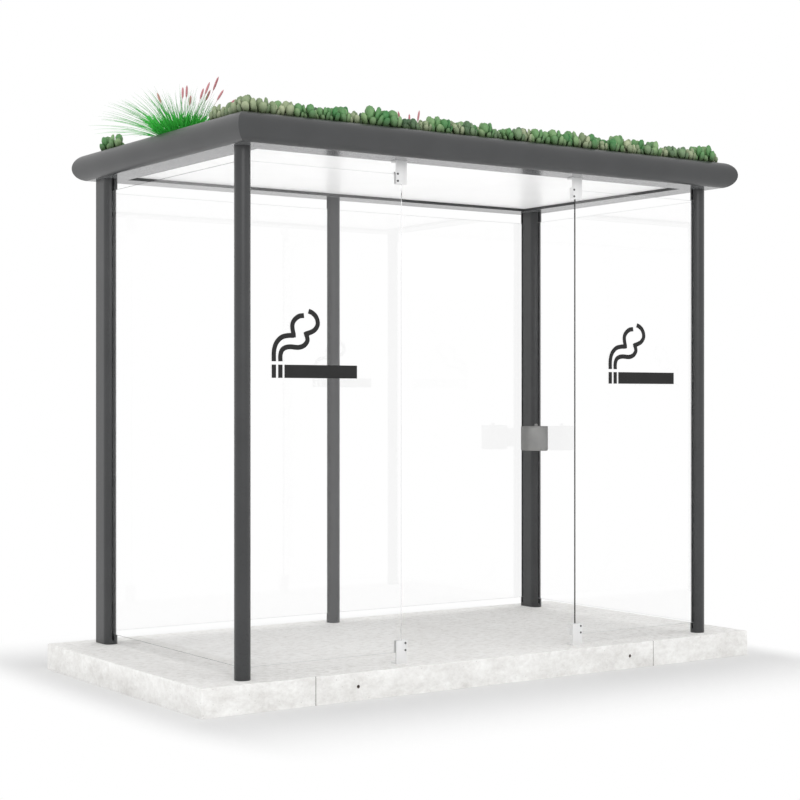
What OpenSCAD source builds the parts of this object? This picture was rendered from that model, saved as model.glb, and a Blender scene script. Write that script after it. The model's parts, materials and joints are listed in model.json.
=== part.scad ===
// Glass shelter with a planted roof on a concrete plinth.
// Millimetres. Origin on the plinth's underside, below the middle of the roof, +X along the
// long side, +Y to the back, the open entrance in the middle of the -Y side.

/* [Plinth] */
// Length of the plinth
plinth_l = 3280; // [3050:10:3600]
// Depth of the plinth
plinth_d = 1662; // [1640:1:2000]
// Height of the plinth
plinth_h = 129; // [80:1:250]
// How far the plinth is set back from the middle of the roof
plinth_y = 25; // [0:1:40]

/* [Roof] */
// Length of the roof over its rounded edges
roof_l = 3000; // [2600:10:3400]
// Depth of the roof over its rounded edges
roof_d = 1748; // [1650:1:1900]
// Clear height from the plinth to the roof
clear_h = 2352; // [2100:1:2600]
// Height of the rounded edge
edge_h = 132; // [126:1:170]
// How far the rounded edge stands out from the beams
edge_out = 56; // [44:1:64]
// Wall of the hollow edge profile
edge_wall = 4; // [3:0.5:6]
// Width of a roof beam
beam_w = 155; // [140:1:180]
// Height of a roof beam
beam_h = 100; // [80:1:105]
// Wall of a hollow roof beam
beam_wall = 5; // [3:0.5:8]
// Thickness of the roof deck
deck_t = 8; // [5:1:12]
// Depth of the growing medium
soil_t = 18; // [12:1:24]

/* [Ceiling] */
// How far the ceiling lies above the underside of the beams
ceiling_rise = 15; // [10:1:30]
// Thickness of the ceiling panel
ceiling_t = 10; // [6:1:16]
// Thickness of the trim strip around the ceiling
trim_t = 4; // [2:0.5:8]

/* [Planting] */
// Height of the low planting over its growing medium
mat_h = 66; // [45:1:90]
// Gap between the low planting and the rounded edge or a grass clump
mat_gap = 6; // [2:1:20]
// Distance between two tufts of the low planting
tuft_pitch = 197; // [150:1:260]
// How far a tuft stands up from the low planting
tuft_h = 25; // [10:1:35]
// Radius of a tuft at its foot
tuft_r = 88; // [60:1:92]
// Radius of a tuft at its flat top
tuft_top_r = 46; // [20:1:55]
// From the end clump to the sides of the bare square around it
bare_w = 270; // [230:5:330]
// Radius of a grass clump at its foot
clump_foot_r = 100; // [80:5:110]
// Radius of a grass clump at its widest
clump_r = 190; // [150:5:220]
// Height of a grass clump where it is widest
belly_h = 110; // [80:5:140]
// Height of the end clump over its growing medium
clump_h = 300; // [250:5:330]
// Height of the middle clump over its growing medium
middle_h = 240; // [200:5:300]
// Distance of the end clump from the middle of the roof
clump_x = 1320; // [1000:10:1330]
// How far the end clump is set back from the middle of the roof
clump_y = -10; // [-200:10:300]

/* [Posts] */
// Diameter of a post
post_d = 73; // [68:1:90]
// Wall of a post
post_wall = 4; // [3:0.5:6]
// From the ends of the beams to the axes of the corner posts
post_end = 64; // [48:1:90]
// From the front of the front beam to the axes of the front posts
post_front = 124; // [60:1:130]
// From the back of the back beam to the round noses' axes of the back corner posts
post_back = 147; // [140:1:180]
// Length of a back corner post behind the axis of its round nose
post_tail = 90; // [88:1:120]
// From the back of the back beam to the glass and middle post of the back wall
back_glass = 70; // [66:1:80]

/* [Glass] */
// Thickness of the glass
glass_t = 10; // [6:1:12]
// Gap each side of the glass in its slot
glass_fit = 1; // [0.5:0.25:2]
// Depth of the slots in the posts
slot_depth = 16; // [12:1:20]
// How far the glass reaches into a slot
glass_in = 11; // [6:1:11]
// Height of the glass over the plinth
glass_foot = 54; // [45:1:90]
// Gap between the glass and the roof
glass_head = 62; // [45:1:90]
// Width of the open entrance between the front panes
entrance_w = 1060; // [900:2:1300]
// Height of the closed foot of a slot
slot_foot = 20; // [10:1:30]
// Height of a setting block under the glass
block_h = 14; // [8:1:20]

/* [Glass clamps] */
// Width of a clamp
clamp_w = 60; // [45:1:80]
// Thickness of a clamp's plates
clamp_t = 8; // [5:0.5:10]
// Height of a clamp
clamp_h = 109; // [100:1:130]
// Height of a clamp's back jaw
jaw_h = 58; // [36:1:65]
// How far a clamp reaches past the free edge of its pane
clamp_past = 23; // [16:1:30]
// Gap between the free edge of a pane and the web of its clamp
web_gap = 2; // [0.5:0.5:4]
// Depth of a clamp's foot behind its front plate
foot_d = 36; // [28:1:40]

/* [Ash bin] */
// Width of the ash bin
bin_w = 140; // [110:2:150]
// Length of its straight sides
bin_side = 58; // [30:1:70]
// Height of the ash bin
bin_h = 144; // [120:1:180]
// Thickness of its sheet metal
bin_wall = 2; // [1:0.5:4]
// Height of its underside over the plinth
bin_z = 936; // [800:1:1100]
// From the axis of the back right post to the middle of the bin
bin_left = 102; // [92:1:110]
// Gap between the bin and the nose of its post
bin_gap = 38; // [20:1:50]
// Thickness of the bin's top plate
lid_t = 4; // [2:0.5:8]
// Diameter of the stub-out knob
knob_d = 20; // [8:1:30]
// Height of the stub-out knob
knob_h = 14; // [6:1:20]
// Width of the arm between the bin and its post
bracket_w = 38; // [34:1:44]
// Thickness of the plate on the back of the bin
bracket_t = 8; // [4:1:12]
// Height of the bracket
bracket_h = 110; // [60:1:115]
// Gap between the bracket and the glass beside it
bracket_gap = 6; // [3:1:10]

/* [Hidden] */
$fn = 96;
eps = 1;

// Heights
floor_z = plinth_h;
soffit_z = floor_z + clear_h;
deck_z = soffit_z + beam_h;
soil_z = deck_z + deck_t;
mat_z = soil_z + soil_t;
tuft_z = mat_z + mat_h - tuft_h;
glass_z = floor_z + glass_foot;
glass_h = clear_h - glass_foot - glass_head;

// Outer faces of the beams, and half the plan of the roof
beam_x = roof_l / 2 - edge_out;
beam_y = roof_d / 2 - edge_out;
inner_x = beam_x - beam_w;
inner_y = beam_y - beam_w;

// Axes of the posts and planes of the glass
post_r = post_d / 2;
post_x = beam_x - post_end;
front_y = -beam_y + post_front;
nose_y = beam_y - post_back;
back_y = beam_y - back_glass;
slot_w = glass_t + 2 * glass_fit;
free_x = entrance_w / 2;

// Circle of the rounded edge through the top and foot of the beams' outer face
edge_r = (pow(edge_h / 2, 2) + pow(edge_out, 2)) / (2 * edge_out);

// Place of the ash bin
bin_x = post_x - bin_left;
bin_back_y = nose_y - post_r - bin_gap;
bin_axis_y = bin_back_y - bin_side;

// Plan of the low planting, its bare squares as [centre, half a side], and its rows of tufts
mat_l = 2 * (beam_x - mat_gap);
mat_d = 2 * (beam_y - mat_gap);
end_clump = [-clump_x, clump_y];
bare_places = [[end_clump, bare_w], [[0, 0], clump_r + mat_gap]];
tufts_x = floor(mat_l / tuft_pitch);
tufts_y = floor(mat_d / tuft_pitch);

concrete = [0.86, 0.86, 0.85];
anthracite = [0.27, 0.27, 0.28];
silver = [0.72, 0.73, 0.74];
clear_glass = [0.85, 0.93, 0.93, 0.35];
white = [0.97, 0.97, 0.97];
soil = [0.25, 0.19, 0.14];
leaf = [0.30, 0.45, 0.20];
grass = [0.35, 0.62, 0.25];
black = [0.08, 0.08, 0.08];

// A block centred in plan on the origin, standing on height z
module slab(size, z) {
    translate([-size[0] / 2, -size[1] / 2, z]) cube(size);
}

// A block between two heights that spans two corners in plan
module block(x0, y0, x1, y1, z, h) {
    translate([min(x0, x1), min(y0, y1), z]) cube([abs(x1 - x0), abs(y1 - y0), h]);
}

module plinth() {
    color(concrete) translate([0, plinth_y, 0]) slab([plinth_l, plinth_d, plinth_h], 0);
}

// Plan of a glazing slot that opens at the surface of a post, grown by a wall
module slot_plan(reach, wall = 0) {
    translate([reach - slot_depth - wall, -slot_w / 2 - wall])
        square([slot_depth + wall + eps, slot_w + 2 * wall]);
}

// Plan of a post, round or with a straight tail to +Y, inset by a wall
module post_plan(tail, inset = 0) {
    circle(post_r - inset);
    if (tail > 0)
        translate([inset - post_r, 0]) square([post_d - 2 * inset, tail - inset]);
}

// A hollow post with slots given as [place along the tail, direction]
module post(tail, slots) {
    difference() {
        linear_extrude(clear_h) post_plan(tail);
        translate([0, 0, -eps]) linear_extrude(clear_h + 2 * eps) difference() {
            post_plan(tail, post_wall);
            for (s = slots) translate([0, s[0]]) rotate(s[1]) slot_plan(post_r, post_wall);
        }
        translate([0, 0, slot_foot]) linear_extrude(clear_h)
            for (s = slots) translate([0, s[0]]) rotate(s[1]) slot_plan(post_r);
    }
}

module post_front_left() {
    color(anthracite) translate([-post_x, front_y, floor_z]) post(0, [[0, 0], [0, 90]]);
}

module post_front_right() {
    color(anthracite) translate([post_x, front_y, floor_z]) post(0, [[0, 180], [0, 90]]);
}

module post_back_left() {
    color(anthracite) translate([-post_x, nose_y, floor_z])
        post(post_tail, [[back_y - nose_y, 0], [0, -90]]);
}

module post_back_right() {
    color(anthracite) translate([post_x, nose_y, floor_z])
        post(post_tail, [[back_y - nose_y, 180], [0, -90]]);
}

module post_back_middle() {
    color(anthracite) translate([0, back_y, floor_z]) post(0, [[0, 0], [0, 180]]);
}

// A pane along X between two places, in the plane at y
module pane_x(x0, x1, y) {
    color(clear_glass) block(x0, y - glass_t / 2, x1, y + glass_t / 2, glass_z, glass_h);
}

// A pane along Y between the front and back corner posts, in the plane at x
module pane_y(x) {
    color(clear_glass)
        block(x - glass_t / 2, front_y + post_r - glass_in,
            x + glass_t / 2, nose_y - post_r + glass_in, glass_z, glass_h);
}

module glass_front_left() { pane_x(-post_x + post_r - glass_in, -free_x, front_y); }

module glass_front_right() { pane_x(free_x, post_x - post_r + glass_in, front_y); }

module glass_left() { pane_y(-post_x); }

module glass_right() { pane_y(post_x); }

module glass_back_left() { pane_x(-post_x + post_r - glass_in, glass_in - post_r, back_y); }

module glass_back_right() { pane_x(post_r - glass_in, post_x - post_r + glass_in, back_y); }

// A block that carries a pane, wedged between the walls of a slot at a post's axis
module setting_block(x, y, direction) {
    translate([x, y, glass_z - block_h]) rotate(direction)
        translate([post_r - slot_depth, -slot_w / 2]) cube([slot_depth - eps, slot_w, block_h]);
}

module setting_blocks() {
    color(black) for (side = [-1, 1]) {
        inward = 90 + 90 * side;
        setting_block(side * post_x, front_y, inward);
        setting_block(side * post_x, front_y, 90);
        setting_block(side * post_x, nose_y, -90);
        setting_block(side * post_x, back_y, inward);
        setting_block(0, back_y, 90 - 90 * side);
    }
}

// A clamp on its foot at the free edge of the right front pane
module clamp() {
    front = front_y - glass_t / 2;
    back = front_y + glass_t / 2;
    edge = free_x - clamp_past;
    block(edge, front - clamp_t, edge + clamp_w, front, 0, clamp_h);
    block(edge, back, edge + clamp_w, back + clamp_t, clamp_h - jaw_h, jaw_h);
    block(edge, front, free_x - web_gap, back, clamp_h - jaw_h, jaw_h);
    block(edge, front, edge + clamp_w, front + foot_d, 0, clamp_t);
}

// A clamp turned over under the roof
module clamp_head() {
    translate([0, 0, soffit_z]) mirror([0, 0, 1]) clamp();
}

module clamp_foot_right() {
    color(silver) translate([0, 0, floor_z]) clamp();
}

module clamp_foot_left() {
    mirror([1, 0, 0]) clamp_foot_right();
}

module clamp_head_right() {
    color(silver) clamp_head();
}

module clamp_head_left() {
    mirror([1, 0, 0]) clamp_head_right();
}

// A hollow beam that spans two corners in plan, open at its ends along X or Y
module beam(x0, y0, x1, y1, along_x) {
    end_x = along_x ? eps : -beam_wall;
    end_y = along_x ? -beam_wall : eps;
    color(anthracite) difference() {
        block(x0, y0, x1, y1, soffit_z, beam_h);
        block(x0 - end_x, y0 - end_y, x1 + end_x, y1 + end_y,
            soffit_z + beam_wall, beam_h - 2 * beam_wall);
    }
}

module beam_front() { beam(-beam_x, -beam_y, beam_x, -inner_y, true); }

module beam_back() { beam(-beam_x, inner_y, beam_x, beam_y, true); }

module beam_left() { beam(-beam_x, -inner_y, -inner_x, inner_y, false); }

module beam_right() { beam(inner_x, -inner_y, beam_x, inner_y, false); }

// Section of the rounded edge, from the beam's face at x = 0 outward
module edge_section(inset = 0) {
    intersection() {
        translate([edge_out - edge_r, edge_h / 2]) circle(edge_r - inset);
        translate([inset, inset]) square([edge_out, edge_h - 2 * inset]);
    }
}

// A rounded edge along a beam whose outer face is half_l long each way, with mitred ends
module roof_edge(half_l, face) {
    color(anthracite) translate([0, 0, soffit_z]) intersection() {
        translate([-half_l - edge_out, -face, 0]) rotate([90, 0, 90]) mirror([1, 0, 0])
            linear_extrude(2 * (half_l + edge_out)) difference() {
                edge_section();
                edge_section(edge_wall);
            }
        translate([0, 0, -eps]) linear_extrude(edge_h + 2 * eps)
            polygon([[-half_l, -face], [half_l, -face],
                [half_l + 2 * edge_out, -face - 2 * edge_out],
                [-half_l - 2 * edge_out, -face - 2 * edge_out]]);
    }
}

module roof_edge_front() { roof_edge(beam_x, beam_y); }

module roof_edge_back() { rotate(180) roof_edge(beam_x, beam_y); }

module roof_edge_left() { rotate(-90) roof_edge(beam_y, beam_x); }

module roof_edge_right() { rotate(90) roof_edge(beam_y, beam_x); }

module ceiling_panel() {
    color(white) slab([2 * inner_x, 2 * inner_y, ceiling_t], soffit_z + ceiling_rise);
}

module ceiling_trim() {
    color(anthracite) difference() {
        slab([2 * inner_x, 2 * inner_y, ceiling_rise], soffit_z);
        slab([2 * (inner_x - trim_t), 2 * (inner_y - trim_t), ceiling_rise + 2 * eps],
            soffit_z - eps);
    }
}

module roof_deck() {
    color(silver) slab([2 * beam_x, 2 * beam_y, deck_t], deck_z);
}

module growing_medium() {
    color(soil) slab([2 * beam_x, 2 * beam_y, soil_t], soil_z);
}

// Whether a tuft keeps clear of every bare place
function tuft_grows(at) =
    min([for (place = bare_places)
        max(abs(at[0] - place[0][0]), abs(at[1] - place[0][1])) - place[1]]) > tuft_r;

// Rows of tufts, spread evenly over the low planting
module tufts() {
    for (i = [1 : tufts_x], j = [1 : tufts_y]) {
        at = [(i - 0.5) * mat_l / tufts_x - mat_l / 2, (j - 0.5) * mat_d / tufts_y - mat_d / 2];
        if (tuft_grows(at))
            translate([at[0], at[1], tuft_z]) cylinder(h = tuft_h, r1 = tuft_r, r2 = tuft_top_r);
    }
}

module sedum_mat() {
    color(leaf) {
        difference() {
            slab([mat_l, mat_d, tuft_z - mat_z], mat_z);
            for (place = bare_places)
                translate([place[0][0], place[0][1], 0])
                    slab([2 * place[1], 2 * place[1], mat_h], mat_z - eps);
        }
        tufts();
    }
}

// A clump that widens from its foot to its belly and ends in the cap of a sphere
module grass_clump(h) {
    cap_h = h - belly_h;
    ball_r = (pow(clump_r, 2) + pow(cap_h, 2)) / (2 * cap_h);
    color(grass) translate([0, 0, mat_z]) {
        cylinder(h = belly_h, r1 = clump_foot_r, r2 = clump_r);
        intersection() {
            translate([0, 0, h - ball_r]) sphere(ball_r);
            slab([2 * ball_r, 2 * ball_r, cap_h + eps], belly_h);
        }
    }
}

module grass_clump_left() {
    translate([end_clump[0], end_clump[1], 0]) grass_clump(clump_h);
}

module grass_clump_middle() {
    grass_clump(middle_h);
}

// Plan of the ash bin about the axis of its round front, inset by a wall
module bin_plan(inset = 0) {
    r = bin_w / 2 - inset;
    intersection() {
        union() {
            circle(r);
            translate([-r, 0]) square([2 * r, bin_side]);
        }
        translate([-r, -r]) square([2 * r, r + bin_side - inset]);
    }
}

module ash_bin_body() {
    color(silver) translate([bin_x, bin_axis_y, floor_z + bin_z]) difference() {
        linear_extrude(bin_h - lid_t) bin_plan();
        translate([0, 0, bin_wall]) linear_extrude(bin_h) bin_plan(bin_wall);
    }
}

module ash_bin_lid() {
    color(silver) translate([bin_x, bin_axis_y, floor_z + bin_z + bin_h - lid_t]) {
        linear_extrude(lid_t) bin_plan();
        cylinder(d = knob_d, h = lid_t + knob_h);
    }
}

// A plate on the back of the bin with an arm that is hollowed to fit the post
module ash_bin_bracket() {
    right = post_x - glass_t / 2 - bracket_gap;
    color(silver) translate([0, 0, floor_z + bin_z + (bin_h - bracket_h) / 2]) {
        block(bin_x, bin_back_y, right, bin_back_y + bracket_t, 0, bracket_h);
        difference() {
            block(right - bracket_w, bin_back_y, right, nose_y, 0, bracket_h);
            translate([post_x, nose_y, -eps]) cylinder(r = post_r, h = bracket_h + 2 * eps);
        }
    }
}

plinth();
post_front_left();
post_front_right();
post_back_left();
post_back_middle();
post_back_right();
glass_front_left();
glass_front_right();
glass_left();
glass_right();
glass_back_left();
glass_back_right();
setting_blocks();
clamp_foot_left();
clamp_foot_right();
clamp_head_left();
clamp_head_right();
beam_front();
beam_back();
beam_left();
beam_right();
roof_edge_front();
roof_edge_back();
roof_edge_left();
roof_edge_right();
ceiling_panel();
ceiling_trim();
roof_deck();
growing_medium();
sedum_mat();
grass_clump_left();
grass_clump_middle();
ash_bin_body();
ash_bin_lid();
ash_bin_bracket();
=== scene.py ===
"""Looks of the glass smoking shelter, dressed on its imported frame; all places in metres."""

import json
import logging
import math
import random
from dataclasses import dataclass
from enum import Enum

import bmesh
import bpy
from mathutils import Matrix, Vector


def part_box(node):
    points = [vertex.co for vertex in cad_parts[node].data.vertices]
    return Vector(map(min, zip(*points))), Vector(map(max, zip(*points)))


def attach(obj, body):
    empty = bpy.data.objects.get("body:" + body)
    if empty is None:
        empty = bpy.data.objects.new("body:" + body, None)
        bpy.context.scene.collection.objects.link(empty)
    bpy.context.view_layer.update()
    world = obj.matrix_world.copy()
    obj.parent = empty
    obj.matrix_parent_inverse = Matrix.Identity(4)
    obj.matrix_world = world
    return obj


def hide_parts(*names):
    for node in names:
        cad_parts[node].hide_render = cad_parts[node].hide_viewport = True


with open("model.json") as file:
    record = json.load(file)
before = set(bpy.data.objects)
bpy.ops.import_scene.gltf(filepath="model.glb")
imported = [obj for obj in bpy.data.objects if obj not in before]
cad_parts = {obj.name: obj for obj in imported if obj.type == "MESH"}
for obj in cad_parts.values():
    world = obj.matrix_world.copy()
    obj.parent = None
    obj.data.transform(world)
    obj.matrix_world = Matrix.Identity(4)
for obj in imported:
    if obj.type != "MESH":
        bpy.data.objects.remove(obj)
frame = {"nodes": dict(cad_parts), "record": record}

LOG = logging.getLogger("shelter")
MM = 0.001
BODY = "root"
WHITE = "#FFFFFF"
# Nearly all values of a noise lie in this span.
NOISE_SPAN = (0.3, 0.7)
# How far the plants' feet stand under the mat, so that none hangs over the soil.
ROOT_DEPTH = 0.003

RGBA = tuple[float, float, float, float]
Triple = tuple[float, float, float]
Pair = tuple[float, float]
Socket = bpy.types.NodeSocket
Tree = bpy.types.NodeTree


class Side(Enum):
    """Left or right half of the shelter, as seen from the entrance."""

    LEFT = "left"
    RIGHT = "right"


class LeafTone(Enum):
    """The three kinds of low plant that share the roof."""

    BRIGHT = 0
    DARK = 1
    SAGE = 2


class GrassForm(Enum):
    """The three shapes that stand in a grass clump."""

    TUFT = "tuft"
    BLADES = "blades"
    SPIKES = "spikes"


def hex_linear(code: str) -> RGBA:
    """Turn an sRGB hex colour into linear light.

    Args:
        code: Six hex digits after a hash sign.

    Returns:
        Red, green, blue and an alpha of 1.
    """
    parts = [int(code[i : i + 2], 16) / 255 for i in (1, 3, 5)]
    linear = [c / 12.92 if c <= 0.04045 else ((c + 0.055) / 1.055) ** 2.4 for c in parts]
    return (*linear, 1.0)


def add_node(tree: Tree, kind: str, settings: dict | None = None) -> bpy.types.Node:
    """Add a node with its settings and links.

    Args:
        tree: The tree that gets the node.
        kind: Blender's name for the kind of node.
        settings: Properties by name, and inputs by name or place, each with its value or with the
            socket that feeds it.

    Returns:
        The new node.
    """
    node = tree.nodes.new(kind)
    for key, value in (settings or {}).items():
        if isinstance(value, Socket):
            tree.links.new(value, node.inputs[key])
        elif isinstance(key, str) and hasattr(node, key):
            setattr(node, key, value)
        else:
            node.inputs[key].default_value = value
    return node


def seen_rays(tree: Tree) -> Socket:
    """Tell the rays that show a thing from the rays that it lights.

    Args:
        tree: The tree of a material or of the surround.

    Returns:
        1 for what is looked at, mirrored or seen through glass, and 0 for light on a matte face.
    """
    path = add_node(tree, "ShaderNodeLightPath")
    seen = path.outputs["Is Camera Ray"]
    for ray in ("Is Glossy Ray", "Is Transmission Ray"):
        either = add_node(tree, "ShaderNodeMath", {"operation": "MAXIMUM", 0: seen, 1: path.outputs[ray]})
        seen = either.outputs["Value"]
    return seen


@dataclass(frozen=True)
class Surface:
    """A material that is made when first asked for.

    Attributes:
        name: Name of the material.
    """

    name: str

    def shader(self, tree: Tree) -> Socket:
        """Return the shader; each kind of surface has its own."""
        raise NotImplementedError

    def material(self) -> bpy.types.Material:
        """Make the material, or find it again.

        Returns:
            The material.
        """
        if self.name in bpy.data.materials:
            return bpy.data.materials[self.name]
        made = bpy.data.materials.new(self.name)
        made.use_nodes = True
        tree = made.node_tree
        tree.nodes.clear()
        add_node(tree, "ShaderNodeOutputMaterial", {"Surface": self.shader(tree)})
        return made


@dataclass(frozen=True)
class Finish(Surface):
    """A finish with a mottled tone, an uneven gloss and a fine relief.

    Attributes:
        pale: sRGB hex of its palest tone.
        deep: sRGB hex of its deepest tone.
        mottle_mm: Size of the patches of tone.
        grain_mm: Size of the relief.
        relief_mm: Depth of the relief.
        gloss: Lowest and highest roughness.
        metallic: 1 for bare metal.
        stretch: How much finer the pattern is along each axis.
        specular: How strongly its skin mirrors; 0.5 is usual.
        span: Values of the pattern where the deepest tone ends and the palest starts.
        relief: Strength of the relief.
    """

    pale: str
    deep: str
    mottle_mm: float
    grain_mm: float
    relief_mm: float
    gloss: Pair
    metallic: float = 0.0
    stretch: Triple = (1.0, 1.0, 1.0)
    specular: float = 0.5
    span: Pair = (0.32, 0.68)
    relief: float = 0.6

    def noise(
        self, tree: Tree, size_mm: float, stretch: Triple, detail: float = 3.0, harsh: float = 0.5
    ) -> Socket:
        """Add a noise on Object coordinates.

        Args:
            tree: The material's tree.
            size_mm: Size of its patches.
            stretch: How much finer it is along each axis.
            detail: How many finer layers it has.
            harsh: How strong the finer layers are.

        Returns:
            The noise.
        """
        place = add_node(tree, "ShaderNodeTexCoord")
        turned = add_node(tree, "ShaderNodeMapping", {"Vector": place.outputs["Object"], "Scale": stretch})
        made = add_node(tree, "ShaderNodeTexNoise", {
            "Vector": turned.outputs["Vector"],
            "Scale": 1 / (size_mm * MM),
            "Detail": detail,
            "Roughness": harsh,
        })
        return made.outputs["Fac"]

    def blend(self, tree: Tree, pattern: Socket, span: Pair, deep: str, pale: str) -> Socket:
        """Colour a pattern with a run from one tone to another.

        Args:
            tree: The material's tree.
            pattern: The pattern.
            span: Its values where the run starts and ends.
            deep: sRGB hex at the start.
            pale: sRGB hex at the end.

        Returns:
            The colour.
        """
        share = add_node(tree, "ShaderNodeMapRange", {
            "Value": pattern, "From Min": span[0], "From Max": span[1],
        })
        made = add_node(tree, "ShaderNodeMix", {
            "data_type": "RGBA", 0: share.outputs["Result"], 6: hex_linear(deep), 7: hex_linear(pale),
        })
        return made.outputs[2]

    def colour(self, tree: Tree) -> Socket:
        """Return the mottled colour of the surface."""
        mottle = self.noise(tree, self.mottle_mm, self.stretch)
        return self.blend(tree, mottle, self.span, self.deep, self.pale)

    def shader(self, tree: Tree) -> Socket:
        """Draw the skin of the surface.

        Args:
            tree: The material's tree.

        Returns:
            The shader.
        """
        grain = self.noise(tree, self.grain_mm, self.stretch)
        rough = add_node(tree, "ShaderNodeMapRange", {
            "Value": grain,
            "From Min": NOISE_SPAN[0],
            "From Max": NOISE_SPAN[1],
            "To Min": self.gloss[0],
            "To Max": self.gloss[1],
        })
        bump = add_node(tree, "ShaderNodeBump", {
            "Height": grain, "Strength": self.relief, "Distance": self.relief_mm * MM,
        })
        skin = add_node(tree, "ShaderNodeBsdfPrincipled", {
            "Base Color": self.colour(tree),
            "Roughness": rough.outputs["Result"],
            "Normal": bump.outputs["Normal"],
            "Metallic": self.metallic,
            "Specular IOR Level": self.specular,
        })
        return skin.outputs["BSDF"]


@dataclass(frozen=True)
class CastConcrete(Finish):
    """Fair-faced concrete: cloudy and speckled, with small pores and a scuffed top, painted lighter to
    make up for the roof's shade on it.

    Attributes:
        cloud: Finer layers of the clouds and how strong they are.
        side_speck: Specks of the sides: size in millimetres, stretch, finer layers and their strength.
        top_speck: Specks of the top, in the same order.
        speck_share: How much of the tone is specks; the rest is clouds.
        tone_span: Values of the clouds and specks between which the tone runs.
        top: sRGB hex that the trowelled top leans to.
        scuff: sRGB hex of the fine scuffs along the top.
        scuff_mark: Pattern of the scuffs, in the order of the specks.
        scuff_span: Values of the scuffs between which their tone runs.
        top_share: How far the top leans to these two tones.
        level: Rise of a face's normal from which it starts to be the top, and from which it is.
        pore: sRGB hex of the pores.
        pore_mm: Distance between the pores.
        pore_rim: Where a pore starts and where it is full, as shares of that distance.
        pore_share: How far a pore leans to its tone.
    """

    cloud: Pair = (8.0, 0.66)
    side_speck: tuple[float, Triple, float, float] = (18.0, (0.6, 0.6, 0.8), 5.0, 0.75)
    top_speck: tuple[float, Triple, float, float] = (22.0, (0.5, 1.0, 1.0), 5.0, 0.7)
    speck_share: float = 0.4
    tone_span: Pair = (0.34, 0.62)
    # top: sRGB hex that the trowelled top leans to; lighter than the sides, as painted light that makes up
    # for the roof's shade on the top.
    top: str = "#FFFEFC"
    scuff: str = "#DEDCD8"
    scuff_mark: tuple[float, Triple, float, float] = (18.0, (0.5, 1.0, 1.0), 6.0, 0.75)
    scuff_span: Pair = (0.37, 0.53)
    top_share: float = 0.72
    level: Pair = (0.5, 0.9)
    pore: str = "#C4C2BD"
    pore_mm: float = 34.0
    pore_rim: Pair = (0.10, 0.04)
    pore_share: float = 0.8

    def colour(self, tree: Tree) -> Socket:
        """Draw the clouds, specks, pores and scuffs, and the top's painted light.

        Args:
            tree: The material's tree.

        Returns:
            The colour.
        """
        face = add_node(tree, "ShaderNodeNewGeometry")
        parts = add_node(tree, "ShaderNodeSeparateXYZ", {"Vector": face.outputs["Normal"]})
        upward = add_node(tree, "ShaderNodeMapRange", {
            "Value": parts.outputs["Z"], "From Min": self.level[0], "From Max": self.level[1],
        })
        specks = add_node(tree, "ShaderNodeMix", {
            "Factor": upward.outputs["Result"],
            "A": self.noise(tree, *self.side_speck),
            "B": self.noise(tree, *self.top_speck),
        })
        clouds = self.noise(tree, self.mottle_mm, self.stretch, *self.cloud)
        tone = add_node(tree, "ShaderNodeMix", {
            "Factor": self.speck_share, "A": clouds, "B": specks.outputs["Result"],
        })
        skin = self.blend(tree, tone.outputs["Result"], self.tone_span, self.deep, self.pale)

        place = add_node(tree, "ShaderNodeTexCoord")
        dots = add_node(tree, "ShaderNodeTexVoronoi", {
            "Vector": place.outputs["Object"], "Scale": 1 / (self.pore_mm * MM), "Randomness": 1.0,
        })
        hole = add_node(tree, "ShaderNodeMapRange", {
            "Value": dots.outputs["Distance"],
            "From Min": self.pore_rim[0],
            "From Max": self.pore_rim[1],
            "To Max": self.pore_share,
        })
        pitted = add_node(tree, "ShaderNodeMix", {
            "data_type": "RGBA", 0: hole.outputs["Result"], 6: skin, 7: hex_linear(self.pore),
        })

        # The top leans to a lighter, scuffed tone: the lift is painted light against the roof's shade, and
        # the scuffs are real marks.
        share = add_node(tree, "ShaderNodeMath", {
            "operation": "MULTIPLY", 0: upward.outputs["Result"], 1: self.top_share,
        })
        scuffs = self.noise(tree, *self.scuff_mark)
        bright = self.blend(tree, scuffs, self.scuff_span, self.scuff, self.top)
        scuffed_lit_top = add_node(tree, "ShaderNodeMix", {
            "data_type": "RGBA", 0: share.outputs["Value"], 6: pitted.outputs[2], 7: bright,
        })
        return scuffed_lit_top.outputs[2]


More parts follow.
